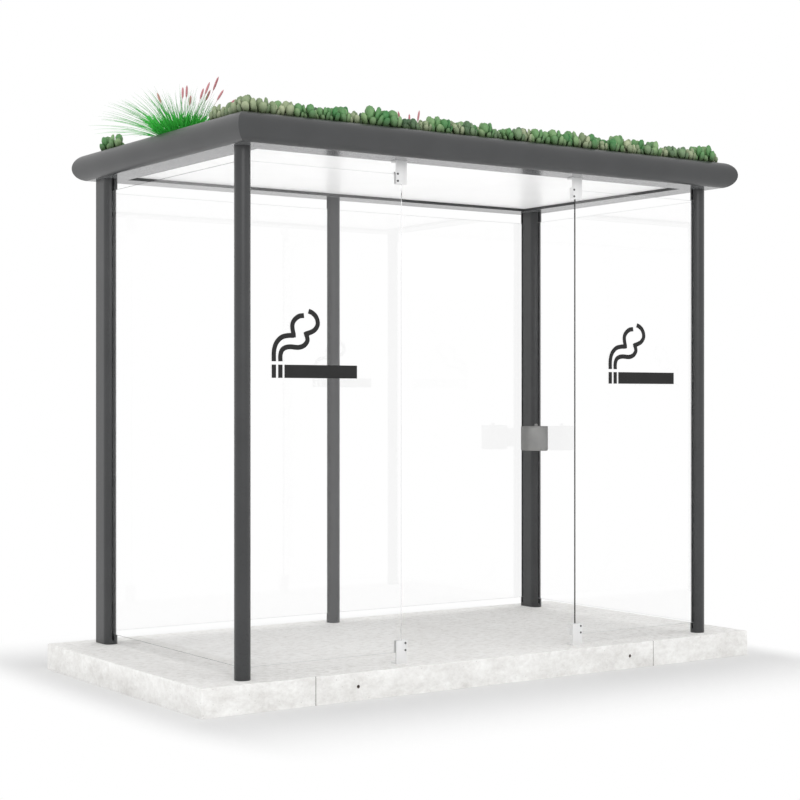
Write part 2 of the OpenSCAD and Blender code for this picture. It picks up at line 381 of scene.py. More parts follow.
@dataclass(frozen=True)
class PlantSkin(Finish):
    """Leaf or blade skin: each plant and each leaf has its own tone, going to the root tone towards the
    soil, which on the sedum is painted shade.

    Attributes:
        root: sRGB hex near the soil: darker on the sedum, as painted shade among the rosettes; lifted on
            the grass blades, as painted light; the green of the stalks under the spikes.
        low_m: Height where the root tone ends.
        high_m: Height from which the skin has its full tone.
        leaf_share: How much of the tone is the leaf's own; the rest is the plant's.
        mottle_share: How much of the tone is mottled.
        tone_span: Values between which the tone runs.
    """

    root: str = "#46573A"
    low_m: float = 2.607
    high_m: float = 2.655
    leaf_share: float = 0.65
    mottle_share: float = 0.35
    tone_span: Pair = (0.15, 0.8)

    def colour(self, tree: Tree) -> Socket:
        """Mix the colour from the plant's and the leaf's own tone and the height.

        Args:
            tree: The material's tree.

        Returns:
            The colour.
        """
        plant = add_node(tree, "ShaderNodeAttribute", {"attribute_name": "tone"})
        leaf = add_node(tree, "ShaderNodeAttribute", {"attribute_name": "shade"})
        own = add_node(tree, "ShaderNodeMix", {
            "Factor": self.leaf_share, "A": plant.outputs["Fac"], "B": leaf.outputs["Fac"],
        })
        mottle = self.noise(tree, self.mottle_mm, self.stretch)
        tone = add_node(tree, "ShaderNodeMix", {
            "Factor": self.mottle_share, "A": own.outputs["Result"], "B": mottle,
        })
        skin = self.blend(tree, tone.outputs["Result"], self.tone_span, self.deep, self.pale)
        # Towards the soil the skin goes to the root tone; on the sedum this darkening is painted shade.
        place = add_node(tree, "ShaderNodeTexCoord")
        parts = add_node(tree, "ShaderNodeSeparateXYZ", {"Vector": place.outputs["Object"]})
        rise = add_node(tree, "ShaderNodeMapRange", {
            "Value": parts.outputs["Z"], "From Min": self.low_m, "From Max": self.high_m,
        })
        made = add_node(tree, "ShaderNodeMix", {
            "data_type": "RGBA", 0: rise.outputs["Result"], 6: hex_linear(self.root), 7: skin,
        })
        return made.outputs[2]


@dataclass(frozen=True)
class Glass(Surface):
    """Polished float glass that lets the lamps through to what stands behind it.

    Attributes:
        tint: sRGB hex of the light that has passed through.
        ior: How strongly it bends light.
    """

    tint: str
    ior: float = 1.5

    def shader(self, tree: Tree) -> Socket:
        """Draw glass for the eye and a clear film for the shadow.

        Args:
            tree: The material's tree.

        Returns:
            The shader.
        """
        tint = hex_linear(self.tint)
        body = add_node(tree, "ShaderNodeBsdfPrincipled", {
            "Base Color": tint, "Roughness": 0.0, "IOR": self.ior, "Transmission Weight": 1.0,
        })
        clear = add_node(tree, "ShaderNodeBsdfTransparent", {"Color": tint})
        path = add_node(tree, "ShaderNodeLightPath")
        mixed = add_node(tree, "ShaderNodeMixShader", {
            0: path.outputs["Is Shadow Ray"], 1: body.outputs["BSDF"], 2: clear.outputs["BSDF"],
        })
        return mixed.outputs["Shader"]


@dataclass(frozen=True)
class StudioFloor(Surface):
    """Pale matte floor that keeps the shadow and turns white further out; its greyer tone beside the
    plinth is partly painted shadow.

    Attributes:
        middle: Middle of the plinth.
        half: Half the plinth's sizes.
        fade: How far from the plinth the floor has turned white, along X and along Y.
        glow: Strength of the white floor's own light on matte faces.
        tone: sRGB hex beside the plinth, greyer than the white further out: painted shadow on top of the
            real one.
    """

    middle: Vector
    half: Vector
    fade: Pair
    glow: float
    tone: str = "#E6E6E6"

    def shader(self, tree: Tree) -> Socket:
        """Draw the matte floor and the white one, mixed by the way to the plinth.

        Args:
            tree: The material's tree.

        Returns:
            The shader.
        """
        zero = (0.0, 0.0, 0.0)
        steps = (
            ("SUBTRACT", self.middle),
            ("ABSOLUTE", zero),
            ("SUBTRACT", self.half),
            ("MAXIMUM", zero),
            ("DIVIDE", (*self.fade, 1.0)),
            ("MULTIPLY", (1.0, 1.0, 0.0)),
        )
        past = add_node(tree, "ShaderNodeTexCoord").outputs["Object"]
        for work, value in steps:
            node = add_node(tree, "ShaderNodeVectorMath", {"operation": work, 0: past, 1: value})
            past = node.outputs["Vector"]
        way = add_node(tree, "ShaderNodeVectorMath", {"operation": "LENGTH", 0: past})
        share = add_node(tree, "ShaderNodeMapRange", {
            "interpolation_type": "SMOOTHSTEP", "Value": way.outputs["Value"],
        })
        # Beside the plinth the matte floor is greyer than the white paper: painted shadow on top of the
        # real shadow that it catches.
        matte = add_node(tree, "ShaderNodeBsdfDiffuse", {"Color": hex_linear(self.tone)})
        power = add_node(tree, "ShaderNodeMapRange", {
            "Value": seen_rays(tree), "To Min": self.glow, "To Max": 1.0,
        })
        paper = add_node(tree, "ShaderNodeEmission", {
            "Color": hex_linear(WHITE), "Strength": power.outputs["Result"],
        })
        mixed = add_node(tree, "ShaderNodeMixShader", {
            0: share.outputs["Result"], 1: matte.outputs["BSDF"], 2: paper.outputs["Emission"],
        })
        return mixed.outputs["Shader"]


# Cast in a smooth form: pale, cloudy, with fine pores, and matte.
CONCRETE = CastConcrete(
    "cast_concrete", "#FAFAF8", "#D8D6D3", 120.0, 5.0, 0.5, (0.75, 0.92), stretch=(0.6, 0.6, 1.0)
)
# Dirt that has settled in the form joints, and painted shade inside the tie holes: brown-grey and dull.
JOINT_DIRT_AND_HOLE_SHADE = Finish("joint_dirt", "#8C807A", "#5A524E", 20.0, 3.0, 0.5, (0.85, 0.95))
# Powder coat on aluminium: dark and even, with a soft sheen. Its real 0.5 mm skin is drawn at 3 mm.
ANTHRACITE = Finish("anthracite_powder_coat", "#393A3B", "#343536", 180.0, 3.0, 0.05, (0.30, 0.40))
# The same coat on the drawn post tubes, a little deeper as painted shade, standing in for the shade under
# the roof.
SHADED_POST_COAT = Finish("anthracite_post_coat", "#343536", "#2E2F30", 180.0, 3.0, 0.05, (0.26, 0.34))
# Coat on the beams' flat undersides, which half mirror the floor and the posts at a low angle; its mid
# grey, lighter than the beams' anthracite, is partly painted sheen for their bright mirror at that angle.
BEAM_SHEEN_COAT = Finish(
    "grey_beam_coat", "#5E5F60", "#565758", 180.0, 6.0, 0.02, (0.16, 0.22), specular=0.22
)
# High-pressure laminate: white and hard, with a soft shine and faint waves.
LAMINATE = Finish("white_laminate", "#FEFEFE", "#FBFBFB", 260.0, 150.0, 0.01, (0.30, 0.36))
# Mill-finish aluminium sheet, dull and slightly streaked.
DECK_SHEET = Finish(
    "aluminium_sheet", "#C4C6C8", "#AEB0B2", 120.0, 8.0, 0.05, (0.35, 0.5), 1.0, (0.2, 1.0, 1.0)
)
# Brushed stainless steel: fine upright lines, drawn at 2 mm instead of 0.2 mm.
STEEL = Finish(
    "brushed_stainless", "#F3F3F3", "#E4E4E4", 60.0, 2.0, 0.03, (0.32, 0.46), 1.0, (1.0, 1.0, 0.1)
)
# Blackened screw steel, so that the heads read as dark dots.
SCREW_STEEL = Finish("screw_steel", "#6A6A6B", "#4C4C4D", 6.0, 1.5, 0.02, (0.35, 0.5), 1.0)
# Soft rubber: black, dull and slightly dusty.
RUBBER = Finish("setting_rubber", "#1E1E1E", "#141414", 12.0, 2.0, 0.05, (0.75, 0.9))
# Grey stove enamel on folded sheet, with a faint orange peel.
BIN_ENAMEL = Finish("bin_enamel", "#6F6F6E", "#676766", 70.0, 4.0, 0.04, (0.42, 0.54), specular=0.1)
# Lava and brick grit of a roof garden: loose brown grains.
GRIT = Finish("growing_grit", "#6B5A46", "#33281D", 14.0, 6.0, 3.0, (0.85, 1.0))
# Cut vinyl film on the glass: charcoal and matte.
SIGN_FILM = Finish("sign_film", "#1C1C1C", "#171717", 90.0, 3.0, 0.02, (0.75, 0.9))
# Float glass and its polished, slightly green edge.
CLEAR_GLASS = Glass("clear_float_glass", WHITE)
GLASS_EDGE = Glass("polished_glass_edge", "#A4B0AC")
# Head and foot of most panes, ground pale and matte.
GROUND_EDGE = Finish("ground_glass_edge", "#DCDFDE", "#D2D5D4", 40.0, 3.0, 0.02, (0.6, 0.8))

# Fleshy sedum leaves: waxy, each plant in its own green.
LEAVES = {
    LeafTone.BRIGHT: PlantSkin("sedum_bright", "#8FAE7A", "#2A7638", 24.0, 5.0, 0.4, (0.42, 0.6)),
    LeafTone.DARK: PlantSkin("sedum_dark", "#7C9A70", "#274F2E", 24.0, 5.0, 0.4, (0.40, 0.58)),
    LeafTone.SAGE: PlantSkin("sedum_sage", "#BCC4A0", "#68805A", 24.0, 5.0, 0.4, (0.45, 0.65)),
}
# Grass blades: vivid and slightly glossy, their green and root tone lifted as painted light that stands in
# for light through the thin blades and against the shade inside the clump. Flower spikes: dusty pink, on
# green stalks.
GRASS = {
    GrassForm.TUFT: PlantSkin(
        "grass_tuft", "#6FE664", "#40D24E", 30.0, 5.0, 0.1, (0.5, 0.65), root="#3CCB4A", high_m=2.68
    ),
    GrassForm.BLADES: PlantSkin(
        "grass_blade", "#6CCB60", "#34A840", 30.0, 5.0, 0.1, (0.5, 0.65), root="#3CCB4A", high_m=2.68
    ),
    GrassForm.SPIKES: PlantSkin(
        "grass_spike", "#E4A8AC", "#BC747C", 20.0, 4.0, 0.4, (0.6, 0.8), root="#4D8A3C", high_m=2.76
    ),
}

# The finish of each of the record's slots, and the coats of two families of nodes.
SLOT_FINISH = {
    "anthracite": ANTHRACITE,
    "silver": DECK_SHEET,
    "white_panel": LAMINATE,
    "black_rubber": RUBBER,
    "stainless": STEEL,
    "bin_grey": BIN_ENAMEL,
    "soil": GRIT,
}
FAMILY_COAT = {"beam": BEAM_SHEEN_COAT, "post": SHADED_POST_COAT}


def new_object(name: str, data: bpy.types.ID) -> bpy.types.Object:
    """Put a mesh, a lamp or a camera in the scene.

    Args:
        name: Name of the object.
        data: What it shows.

    Returns:
        The object.
    """
    made = bpy.data.objects.new(name, data)
    bpy.context.scene.collection.objects.link(made)
    return made


def settle(piece: bpy.types.Object, replaced: str | None = None) -> bpy.types.Object:
    """Let a finished piece ride on the shelter and log it.

    Args:
        piece: The piece, with no modifier left on it.
        replaced: The CAD node that it stands for, if any.

    Returns:
        The piece.
    """
    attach(piece, BODY)
    if replaced:
        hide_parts(replaced)
    LOG.info("%s: %d faces", piece.name, len(piece.data.polygons))
    return piece


def apply_modifiers(piece: bpy.types.Object) -> None:
    """Turn a piece's modifiers into plain mesh.

    Args:
        piece: An object in the scene.
    """
    graph = bpy.context.evaluated_depsgraph_get()
    made = bpy.data.meshes.new_from_object(
        piece.evaluated_get(graph), preserve_all_data_layers=True, depsgraph=graph
    )
    piece.modifiers.clear()
    piece.data = made


def circle(count: int) -> list[Pair]:
    """Return the cosine and sine of each of a circle's points."""
    turns = [2 * math.pi * i / count for i in range(count)]
    return [(math.cos(turn), math.sin(turn)) for turn in turns]


def bm_mesh(bm: bmesh.types.BMesh, name: str, *finishes: Surface) -> bpy.types.Mesh:
    """Turn a bmesh into a mesh with its finishes.

    Args:
        bm: The bmesh, which is freed.
        name: Name of the mesh.
        *finishes: One finish for each material slot.

    Returns:
        The mesh.
    """
    mesh = bpy.data.meshes.new(name)
    bm.to_mesh(mesh)
    bm.free()
    for finish in finishes:
        mesh.materials.append(finish.material())
    return mesh


def bm_block(
    low: Vector, high: Vector, arris: float, steps: int = 1, crisp_foot: bool = False
) -> bmesh.types.BMesh:
    """Make a block with softened edges.

    Args:
        low: Its lowest corner.
        high: Its highest corner.
        arris: Width of the softened edges.
        steps: Faces across an edge.
        crisp_foot: True if the lowest edges stay sharp.

    Returns:
        The block.
    """
    bm = bmesh.new()
    bmesh.ops.create_cube(bm, size=1.0)
    bmesh.ops.scale(bm, vec=high - low, verts=bm.verts)
    bmesh.ops.translate(bm, vec=(low + high) / 2, verts=bm.verts)
    soft = [edge for edge in bm.edges if not crisp_foot or max(v.co.z for v in edge.verts) > low.z + arris]
    bmesh.ops.bevel(bm, geom=soft, offset=arris, segments=steps, affect="EDGES", profile=0.5)
    return bm


def bm_loft(
    bm: bmesh.types.BMesh, rings: list[list[Triple]], capped: bool = True
) -> list[list[bmesh.types.BMVert]]:
    """Add a skin through closed rings of points.

    Args:
        bm: What the skin is added to.
        rings: The points of each ring, from one end to the other.
        capped: True if a flat face closes each end.

    Returns:
        The corners of each ring.
    """
    rows = [[bm.verts.new(point) for point in ring] for ring in rings]
    for a, b in zip(rows, rows[1:]):
        for i in range(len(a)):
            bm.faces.new((a[i - 1], a[i], b[i], b[i - 1]))
    if capped:
        bm.faces.new(rows[0])
        bm.faces.new(rows[-1])
    return rows


def point_mesh(name: str, points: list, numbers: dict[str, list[float]]) -> bpy.types.Mesh:
    """Make a mesh of single points that carry numbers.

    Args:
        name: Name of the mesh.
        points: The places.
        numbers: A list of numbers, one for each point, by name.

    Returns:
        The mesh.
    """
    mesh = bpy.data.meshes.new(name)
    mesh.from_pydata(points, [], [])
    for label, values in numbers.items():
        mesh.attributes.new(label, "FLOAT", "POINT").data.foreach_set("value", values)
    return mesh


class Recipe:
    """A Geometry Nodes tree whose sizes are named inputs."""

    def __init__(self, name: str) -> None:
        """Start a tree that takes and gives one geometry.

        Args:
            name: Name of the tree.
        """
        self.tree = bpy.data.node_groups.new(name, "GeometryNodeTree")
        for way in ("INPUT", "OUTPUT"):
            self.tree.interface.new_socket("Geometry", in_out=way, socket_type="NodeSocketGeometry")
        self.start = add_node(self.tree, "NodeGroupInput")

    def entry(self, label: str, kind: str = "NodeSocketFloat") -> Socket:
        """Add a named input and return the socket that gives its value inside the tree."""
        self.tree.interface.new_socket(label, in_out="INPUT", socket_type=kind)
        return self.start.outputs[label]

    def end(self, geometry: Socket) -> None:
        """Close the tree with plain, smooth geometry, dressed in the material of an input.

        Args:
            geometry: What the tree has made.
        """
        material = self.entry("Material", "NodeSocketMaterial")
        plain = add_node(self.tree, "GeometryNodeRealizeInstances", {"Geometry": geometry})
        smooth = add_node(self.tree, "GeometryNodeSetShadeSmooth", {"Geometry": plain.outputs["Geometry"]})
        dressed = add_node(self.tree, "GeometryNodeSetMaterial", {
            "Geometry": smooth.outputs["Geometry"], "Material": material,
        })
        add_node(self.tree, "NodeGroupOutput", {"Geometry": dressed.outputs["Geometry"]})

    def make(self, name: str, source: bpy.types.Mesh, values: dict) -> bpy.types.Object:
        """Run the tree on a mesh and keep the result as a plain mesh.

        Args:
            name: Name of the new object.
            source: The mesh that goes in.
            values: A value for each named input.

        Returns:
            The object, in the scene, with no modifier left.
        """
        made = new_object(name, source)
        modifier = made.modifiers.new(name, "NODES")
        modifier.node_group = self.tree
        for item in self.tree.interface.items_tree:
            if item.in_out == "INPUT" and item.name in values:
                modifier[item.identifier] = values[item.name]
        apply_modifiers(made)
        return made


@dataclass
class Plinth:
    """The cast block that carries the shelter, with its form joints and tie holes.

    Attributes:
        arris: Width of its softened edges.
        joints_x: Places of the form joints along the long faces.
        joint_w: Width of a joint.
        joint_deep: Depth of a joint.
        ties_x: Places of the tie holes along the long faces.
        tie_r: Radius of a tie hole.
        tie_deep: Depth of a tie hole.
        tie_sides: Faces round a tie hole.
    """

    arris: float = 0.004
    joints_x: Pair = (-1.069, 0.960)
    joint_w: float = 0.003
    joint_deep: float = 0.006
    ties_x: Pair = (-0.843, 0.800)
    tie_r: float = 0.008
    tie_deep: float = 0.012
    tie_sides: int = 24

    def cutter(self, low: Vector, high: Vector) -> bpy.types.Object:
        """Make the shapes that are cut out of the long faces.

        Args:
            low: Lowest corner of the block.
            high: Highest corner of the block.

        Returns:
            An object with the shapes.
        """
        bm = bmesh.new()
        middle = (low.z + high.z) / 2
        joint = Matrix.Diagonal((self.joint_w, 2 * self.joint_deep, 2 * high.z, 1.0))
        lay = Matrix.Rotation(math.pi / 2, 4, "X")
        for face_y in (low.y, high.y):
            for x in self.joints_x:
                bmesh.ops.create_cube(bm, size=1.0, matrix=Matrix.Translation((x, face_y, middle)) @ joint)
            for x in self.ties_x:
                bmesh.ops.create_cone(
                    bm,
                    cap_ends=True,
                    segments=self.tie_sides,
                    radius1=self.tie_r,
                    radius2=self.tie_r,
                    depth=2 * self.tie_deep,
                    matrix=Matrix.Translation((x, face_y, middle)) @ lay,
                )
        # The cut faces take this material: dirt in the joints, painted shade in the tie holes.
        return new_object("plinth_cutter", bm_mesh(bm, "plinth_cutter", JOINT_DIRT_AND_HOLE_SHADE))

    def build(self) -> None:
        """Make the block, cut it and let it stand for its node."""
        low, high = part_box("plinth")
        block = bm_block(low, high, self.arris, steps=2, crisp_foot=True)
        piece = new_object("plinth_block", bm_mesh(block, "plinth_block", CONCRETE))
        cutter = self.cutter(low, high)
        cut = piece.modifiers.new("joints", "BOOLEAN")
        cut.operation = "DIFFERENCE"
        cut.solver = "EXACT"
        cut.material_mode = "TRANSFER"
        cut.object = cutter
        apply_modifiers(piece)
        bpy.data.objects.remove(cutter)
        settle(piece, "plinth")


@dataclass
class Glazing:
    """The six panes, with softened edges.

    Attributes:
        arris: Width of the softened edges.
        panes: Where the panes stand.
        polished: The pane whose head and foot are polished like its upright edges.
        square: Part of a face's normal through the pane from which the face is one of its clear sides.
        level: Part of an edge's normal upwards or downwards from which it is the head or foot.
    """

    arris: float = 0.0005
    panes: tuple[str, ...] = ("front_left", "front_right", "left", "right", "back_left", "back_right")
    polished: str = "left"
    square: float = 0.99
    level: float = 0.5

    def build(self) -> None:
        """Make each pane and let it stand for its node."""
        finishes = (CLEAR_GLASS, GLASS_EDGE, GROUND_EDGE)
        for pane in self.panes:
            low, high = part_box(f"glass_{pane}")
            bm = bm_block(low, high, self.arris)
            sizes = list(high - low)
            thin = sizes.index(min(sizes))
            for face in bm.faces:
                finish = GLASS_EDGE
                if abs(face.normal[thin]) > self.square:
                    finish = CLEAR_GLASS
                elif abs(face.normal.z) > self.level and pane != self.polished:
                    finish = GROUND_EDGE
                face.material_index = finishes.index(finish)
            mesh = bm_mesh(bm, f"pane_{pane}", *finishes)
            settle(new_object(f"pane_{pane}", mesh), f"glass_{pane}")


@dataclass
class SmokeSign:
    """A cut-film pictogram of a lit stick with a plume of smoke, on a front pane.

    Attributes:
        side: The pane that carries it.
        left_x: Its left end.
        foot_z: Height of the foot of its bar.
        film: Thickness of the film.
        stroke: Width of its lines.
        bar: Left end, right end and height of the bar.
        tips: Left ends of the two short pieces of the tip.
        steps: Pieces of a line between two of its points.
        blunt: How blunt a corner is; 1 is the bluntest.
        clear: Points of an outline nearer to the line than this share of half a stroke are left out.
        plume: Two lines of smoke, each in runs that meet at a corner, in millimetres from the foot.
    """

    side: Side
    left_x: float
    foot_z: float
    film: float = 0.0006
    stroke: float = 0.0225
    bar: Triple = (0.066, 0.453, 0.0595)
    tips: Pair = (0.0, 0.0335)
    steps: int = 6
    blunt: float = 0.85
    clear: float = 0.97
    plume: tuple = (
        (
            ((11, 74), (12, 121), (24, 156), (50, 181), (83, 190), (115, 191)),
            ((115, 191), (108, 220), (108, 243), (119, 262), (142, 278), (168, 282)),
        ),
        (
            ((45, 74), (45, 102), (53, 124), (71, 136), (97, 140), (139, 138), (168, 147), (185, 166),
             (185, 183), (178, 200)),
            ((178, 200), (200, 206), (224, 218), (239, 238), (240, 258), (230, 280), (212, 295),
             (192, 303)),
        ),
    )

    def smooth(self, run: tuple[Pair, ...]) -> list[Vector]:
        """Draw a soft line through points.

        Args:
            run: The points.

        Returns:
            The line's points.
        """
        points = [Vector(p) for p in run]
        ends = [2 * points[0] - points[1], *points, 2 * points[-1] - points[-2]]
        line = []
        for a, b, c, d in zip(ends, ends[1:], ends[2:], ends[3:]):
            bend = 2 * a - 5 * b + 4 * c - d
            twist = 3 * b - a - 3 * c + d
            for i in range(self.steps):
                t = i / self.steps
                line.append(0.5 * (2 * b + (c - a) * t + bend * t**2 + twist * t**3))
        return [*line, points[-1]]

    def outline(self, line: list[Vector]) -> list[Vector]:
        """Give a line its width, with blunt corners.

        Args:
            line: The line's points.

        Returns:
            The closed outline; points that fall inside the stroke are left out.
        """
        half = self.stroke / MM / 2
        sides: tuple[list[Vector], list[Vector]] = ([], [])
        for i, point in enumerate(line):
            before = (point - line[i - 1]).normalized() if i else (line[1] - point).normalized()
            after = (line[i + 1] - point).normalized() if i + 1 < len(line) else before
            along = (before + after).normalized()
            across = Vector((-along.y, along.x)) * half / max(self.blunt, along.dot(before))
            for side, place in zip(sides, (point + across, point - across)):
                if min((place - other).length for other in line) > self.clear * half:
                    side.append(place)
        return [*sides[0], *reversed(sides[1])]

    def outlines(self) -> list[list[Vector]]:
        """Draw all pieces of film.

        Returns:
            The outline of each piece, in millimetres from the sign's foot.
        """
        shapes = []
        for runs in self.plume:
            line = [p for run in runs for p in self.smooth(run)[:-1]] + [Vector(runs[-1][-1])]
            shapes.append(self.outline(line))
        *ends, height = self.bar
        for x0, x1 in (ends, *((tip, tip + self.stroke) for tip in self.tips)):
            corners = ((x0, 0.0), (x1, 0.0), (x1, height), (x0, height))
            shapes.append([Vector(corner) / MM for corner in corners])
        return shapes

    def build(self) -> None:
        """Make the film as thin solids on the pane's outer face."""
        low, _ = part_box(f"glass_front_{self.side.value}")
        bm = bmesh.new()
        for shape in self.outlines():
            bm_loft(bm, [
                [(self.left_x + p.x * MM, y, self.foot_z + p.y * MM) for p in shape]
                for y in (low.y - self.film, low.y)
            ])
        bmesh.ops.recalc_face_normals(bm, faces=bm.faces)
        flat = [face for face in bm.faces if len(face.verts) > 4]
        bmesh.ops.triangulate(bm, faces=flat, ngon_method="EAR_CLIP")
        name = f"sign_{self.side.value}"
        settle(new_object(name, bm_mesh(bm, name, SIGN_FILM)))


@dataclass
class AshBin:
    """The ash bin: a shell with a round front and soft lower edges, and a top with a stub-out knob.

    Attributes:
        foot_r: Radius of the lower edges.
        top_r: Radius of the top's edges.
        corner_r: Radius of the upright back edges.
        seam: Half the gap between the shell and the top.
        plate_t: Thickness of the top.
        front_steps: Faces round the front.
        corner_steps: Faces round an upright back edge.
        edge_steps: Faces across a soft edge.
        crease: Turn between two faces from which their edge is crisp, in degrees.
        knob_r: Radius of the knob.
        knob_sink: How deep the knob's foot stands in the top.
        knob_sides: Faces round the knob.
        knob_rim: The knob's upper profile: way down from its tip and reach, as shares of its radius.
    """

    foot_r: float = 0.0065
    top_r: float = 0.0025
    corner_r: float = 0.008
    seam: float = 0.0008
    plate_t: float = 0.004
    front_steps: int = 28
    corner_steps: int = 4
    edge_steps: int = 5
    crease: float = 40.0
    knob_r: float = 0.010
    knob_sink: float = 0.001
    knob_sides: int = 20
    knob_rim: tuple[Pair, ...] = ((0.4, 1.0), (0.12, 0.86), (0.0, 0.55))

    def ring(self, low: Vector, high: Vector, height: float, inset: float) -> list[Triple]:
        """Draw the outline of the bin at one height.

        Args:
            low: Lowest corner of the bin.
            high: Highest corner of the bin.
            height: Where the outline lies.
            inset: How far inside the outer face it lies.

        Returns:
            The points, round the front and back along the flat side.
        """
        r = (high.x - low.x) / 2
        c = self.corner_r
        quarter = math.pi / 2
        arcs = (
            (low.x + r, low.y + r, r, math.pi, math.pi, self.front_steps),
            (high.x - c, high.y - c, c, 0.0, quarter, self.corner_steps),
            (low.x + c, high.y - c, c, quarter, quarter, self.corner_steps),
        )
        points = []
        for x, y, radius, start, sweep, count in arcs:
            reach = radius - inset
            turns = [start + sweep * i / count for i in range(count + 1)]
            points += [(x + reach * math.cos(t), y + reach * math.sin(t), height) for t in turns]
        return points

    def finish(self, bm: bmesh.types.BMesh, name: str, node: str) -> bpy.types.Object:
        """Turn a shape into a piece with smooth curves and crisp edges.

        Args:
            bm: The shape.
            name: Name of the piece.
            node: The CAD node that it stands for.

        Returns:
            The piece.
        """
        bmesh.ops.recalc_face_normals(bm, faces=bm.faces)
        mesh = bm_mesh(bm, name, BIN_ENAMEL)
        mesh.shade_smooth()
        mesh.set_sharp_from_angle(angle=math.radians(self.crease))
        return settle(new_object(name, mesh), node)

    def build(self) -> list[bpy.types.Object]:
        """Make the shell and the top and let them stand for their nodes.

        Returns:
            The two pieces.
        """
        turns = [math.radians(90 * i / self.edge_steps) for i in range(self.edge_steps + 1)]
        low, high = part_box("ash_bin_body")
        r = self.foot_r
        steps = [(low.z + r * (1 - math.cos(t)), r * (1 - math.sin(t))) for t in turns]
        steps += [(high.z - 2 * self.seam, 0.0), (high.z - self.seam, self.seam)]
        bm = bmesh.new()
        bm_loft(bm, [self.ring(low, high, z, inset) for z, inset in steps])
        shell = self.finish(bm, "bin_shell", "ash_bin_body")

        low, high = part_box("ash_bin_lid")
        r = self.top_r
        edge = low.z + self.plate_t
        steps = [(low.z, self.seam), (low.z + self.seam, 0.0)]
        steps += [(edge - r * (1 - math.sin(t)), r * (1 - math.cos(t))) for t in turns]
        bm = bmesh.new()
        bm_loft(bm, [self.ring(low, high, z, inset) for z, inset in steps])

        half = (high.x - low.x) / 2
        x, y, k = low.x + half, low.y + half, self.knob_r
        profile = [(edge - self.knob_sink, k)]
        profile += [(high.z - down * k, reach * k) for down, reach in self.knob_rim]
        around = circle(self.knob_sides)
        bm_loft(bm, [[(x + reach * c, y + reach * s, z) for c, s in around] for z, reach in profile])
        return [shell, self.finish(bm, "bin_top", "ash_bin_lid")]


@dataclass
class Screws:
    """The pairs of screws in the four glass clamps and in the ash bin's bracket.

    Attributes:
        head_r: Radius of a screw's head.
        head_h: Height of a head.
        sides: Faces round a head.
        profile: A head from its foot to its socket: shares of its radius and of its height.
        inset: From a clamp plate's edge to a screw's axis.
        high: Height of the screws over the clamp's free end, near and far.
        bracket: Where the bracket's screws sit: in from its left edge, out from the bin's back and
            in from its ends.
    """

    head_r: float = 0.0052
    head_h: float = 0.0022
    sides: int = 12
    profile: tuple[Pair, ...] = ((1.0, 0.0), (1.0, 0.6), (0.82, 1.0), (0.5, 1.0), (0.42, 0.2))
    inset: float = 0.0085
    high: Pair = (0.014, 0.047)
    bracket: Triple = (0.020, 0.008, 0.024)

    def head(self) -> bpy.types.Object:
        """Make one head with a socket, its axis along -Y.

        Returns:
            An object with the head at the origin.
        """
        bm = bmesh.new()
        rings = []
        for wide, out in self.profile:
            r, y = wide * self.head_r, -out * self.head_h
            rings.append([(r * c, y, r * s) for c, s in circle(self.sides)])
        bm_loft(bm, rings)
        bmesh.ops.recalc_face_normals(bm, faces=bm.faces)
        return new_object("screw_head", bm_mesh(bm, "screw_head", SCREW_STEEL))

    def places(self) -> bpy.types.Mesh:
        """Mark where the screws sit.

        Returns:
            A mesh of single points, each with the turn of its screw.
        """
        points = []
        for side in Side:
            low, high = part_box(f"clamp_foot_{side.value}")
            points += [(high.x - self.inset, low.y, high.z - z) for z in self.high]
            low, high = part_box(f"clamp_head_{side.value}")
            points += [(low.x + self.inset, low.y, low.z + z) for z in self.high]
        turns = [0.0] * len(points)
        low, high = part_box("ash_bin_bracket")
        x, y, z = self.bracket
        points += [(low.x + x, low.y + y, low.z + z), (low.x + x, low.y + y, high.z - z)]
        turns += [math.pi] * 2
        return point_mesh("screw_places", points, {"turn": turns})

    def build(self) -> None:
        """Set a head on each place."""
        made = Recipe("screws")
        shape = add_node(made.tree, "GeometryNodeObjectInfo", {
            "Object": made.entry("Head", "NodeSocketObject"),
        })
        turn = add_node(made.tree, "GeometryNodeInputNamedAttribute", {
            "data_type": "FLOAT", "Name": "turn",
        })
        aim = add_node(made.tree, "ShaderNodeCombineXYZ", {"Z": turn.outputs["Attribute"]})
        points = add_node(made.tree, "GeometryNodeMeshToPoints", {"Mesh": made.start.outputs["Geometry"]})
        heads = add_node(made.tree, "GeometryNodeInstanceOnPoints", {
            "Points": points.outputs["Points"],
            "Instance": shape.outputs["Geometry"],
            "Rotation": aim.outputs["Vector"],
        })
        made.end(heads.outputs["Instances"])
        head = self.head()
        values = {"Head": head, "Material": SCREW_STEEL.material()}
        piece = made.make("screw_heads", self.places(), values)
        bpy.data.objects.remove(head)
        settle(piece)


